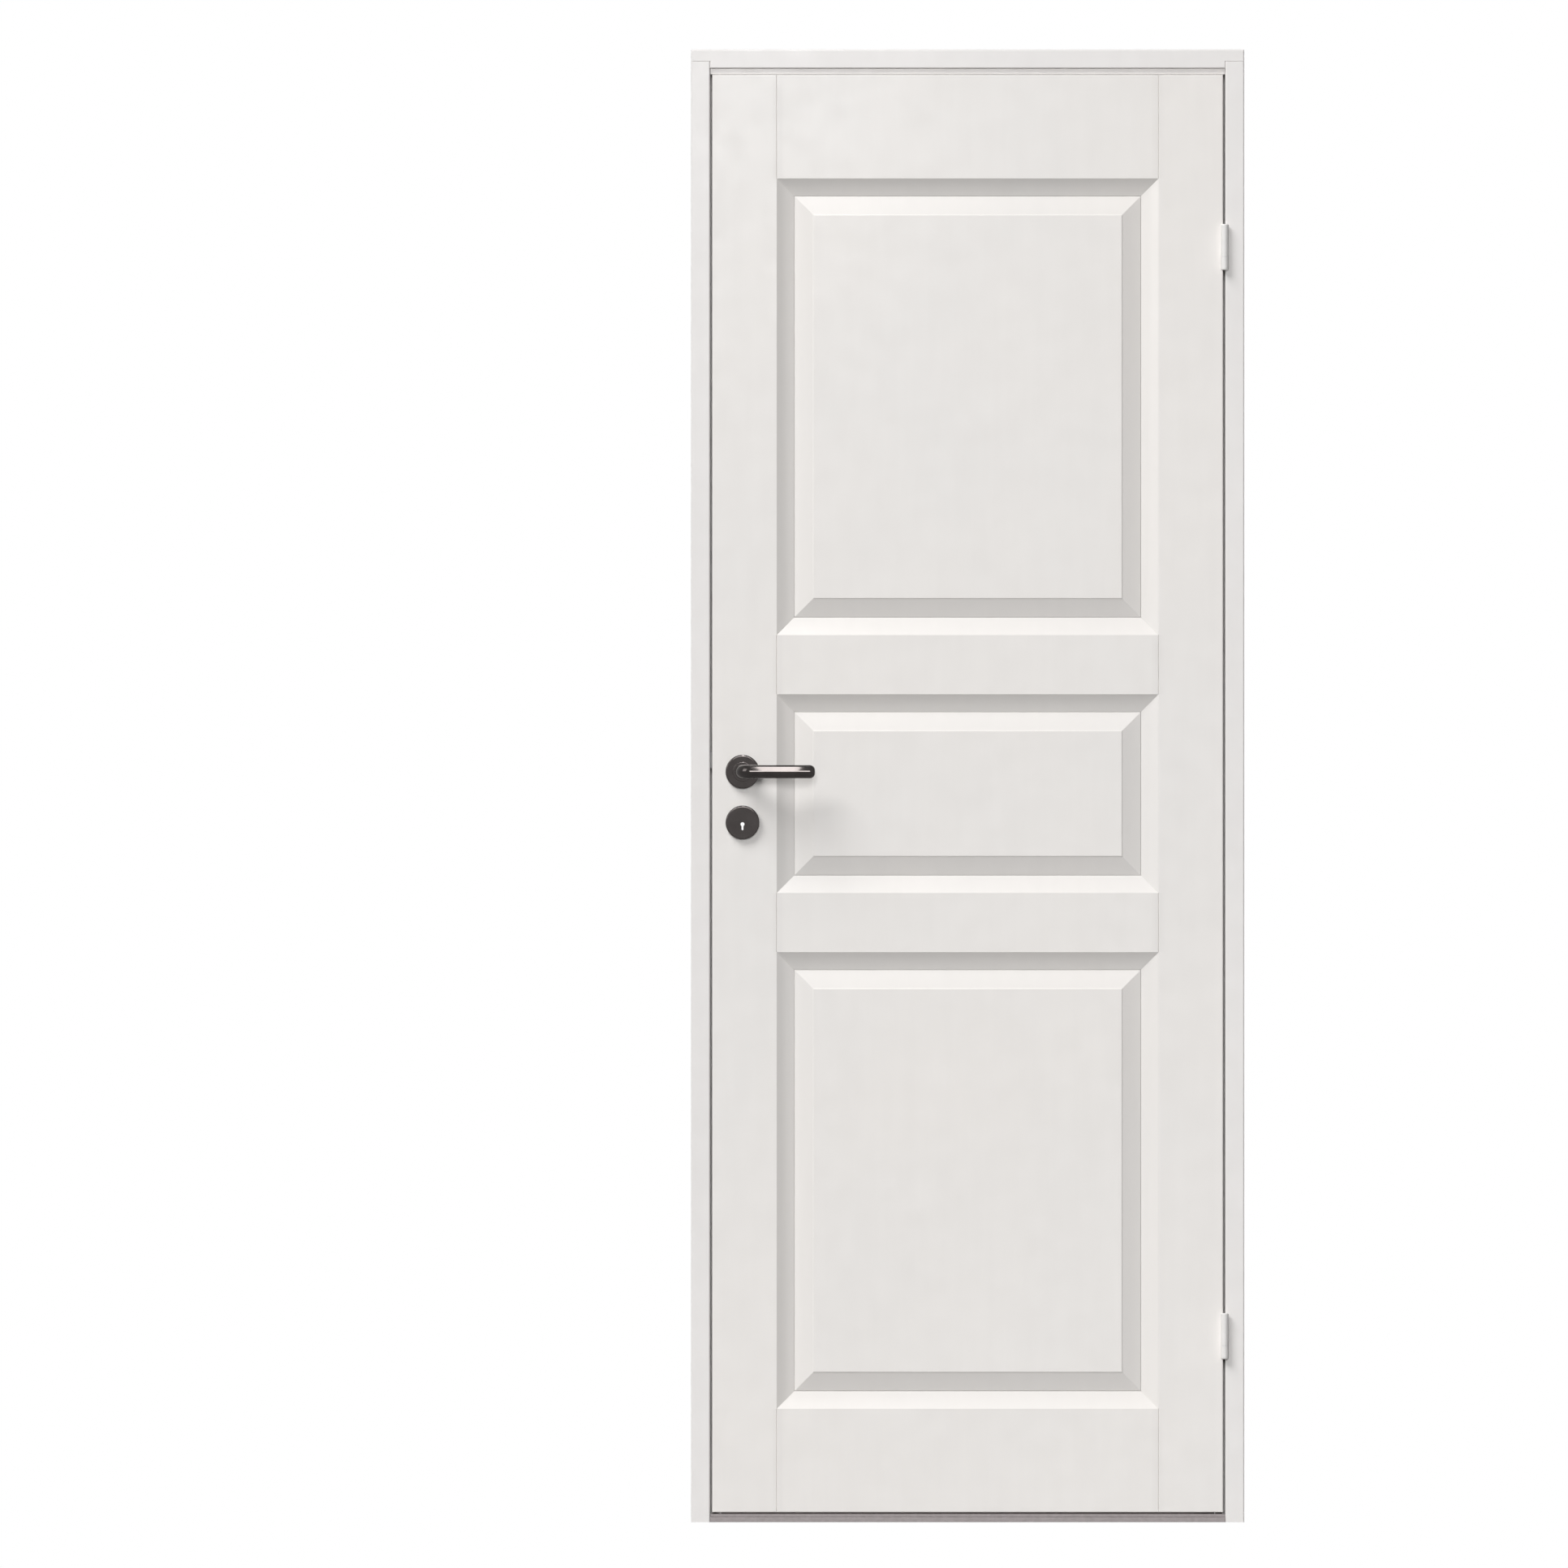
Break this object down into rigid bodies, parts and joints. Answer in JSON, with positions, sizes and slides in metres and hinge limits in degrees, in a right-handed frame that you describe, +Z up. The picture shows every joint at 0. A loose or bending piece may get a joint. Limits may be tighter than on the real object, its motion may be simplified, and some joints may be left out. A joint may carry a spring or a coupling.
{
  "type": "interior door",
  "caption": "Panelled interior door hung in its rebated timber frame, with raised and fielded panels, lift-off hinges, lever handles and a mortice latch and dead bolt behind key roses",
  "frame": {"origin": "on the floor, midway between the two jambs and at the middle of the leaf's thickness", "axes": "+X from the lock side to the hinge side as seen from the front, +Y away from the viewer through the doorway, +Z up"},
  "size_m": [0.785, 0.159, 2.09],
  "materials": {
    "leaf_paint": "satin white paint over timber",
    "frame_paint": "satin white paint over timber",
    "threshold_metal": "grey anodised",
    "seal": "matt, soft",
    "hinge_metal": "white powder coat",
    "handle_metal": null,
    "steel": "zinc plated",
    "case_metal": "bright zinc, lightly brushed",
    "nylon": "moulded",
    "dowel_wood": "bare beech"
  },
  "bodies": {
    "frame": {"hinge_jamb": "frame_paint", "lock_jamb": "frame_paint", "frame_head": "frame_paint", "head_gap_strip": "frame_paint", "threshold": "threshold_metal", "threshold_screws": "steel", "hinge_jamb_seal": "seal", "lock_jamb_seal": "seal", "head_seal": "seal", "hinge_jamb_sleeves": "steel", "lock_jamb_sleeves": "steel", "frame_corner_screws": "steel", "upper_hinge_frame_half": "hinge_metal", "lower_hinge_frame_half": "hinge_metal", "upper_hinge_pin": "steel", "lower_hinge_pin": "steel", "jamb_hinge_screws": "steel", "strike_plate": "steel", "strike_screws": "steel"},
    "leaf": {"hinge_stile": "leaf_paint", "lock_stile": "leaf_paint", "top_rail": "leaf_paint", "upper_middle_rail": "leaf_paint", "lower_middle_rail": "leaf_paint", "bottom_rail": "leaf_paint", "top_panel": "leaf_paint", "middle_panel": "leaf_paint", "bottom_panel": "leaf_paint", "rail_dowels": "dowel_wood", "upper_hinge_leaf_half": "hinge_metal", "lower_hinge_leaf_half": "hinge_metal", "leaf_hinge_screws": "steel", "lock_case": "case_metal", "lock_cover": "case_metal", "lock_faceplate": "steel", "faceplate_screws": "steel", "front_handle_rose": "handle_metal", "back_handle_rose": "handle_metal", "front_handle_rose_base": "nylon", "back_handle_rose_base": "nylon", "front_key_rose": "handle_metal", "back_key_rose": "handle_metal", "front_key_rose_base": "nylon", "back_key_rose_base": "nylon", "rose_bolts": "steel"},
    "handle": {"front_lever": "handle_metal", "back_lever": "handle_metal", "spindle": "steel", "follower": "case_metal", "lever_grub_screws": "case_metal"},
    "latch": {"latch_bolt": "steel"},
    "deadbolt": {"dead_bolt": "steel"}
  },
  "joints": [
    {"name": "leaf_swing", "type": "hinge", "parent": "frame", "child": "leaf", "pos_m": [0.365, -0.026, 1], "axis": [0, 0, 1], "range_deg": [0, 170]},
    {"name": "handle_turn", "type": "hinge", "parent": "leaf", "child": "handle", "pos_m": [-0.3195, 0, 1.065], "axis": [0, 1, 0], "range_deg": [0, 40], "stiffness_Nm_per_rad": 1.5, "springref_deg": -28.65},
    {"name": "latch_slide", "type": "slide", "parent": "leaf", "child": "latch", "axis": [1, 0, 0], "range_m": [0, 0.0112]},
    {"name": "deadbolt_slide", "type": "slide", "parent": "leaf", "child": "deadbolt", "axis": [-1, 0, 0], "range_m": [0, 0.014]}
  ],
  "couplings": [
    {"joint": "latch_slide", "follows": "handle_turn", "m_per_rad": 0.01575}
  ]
}
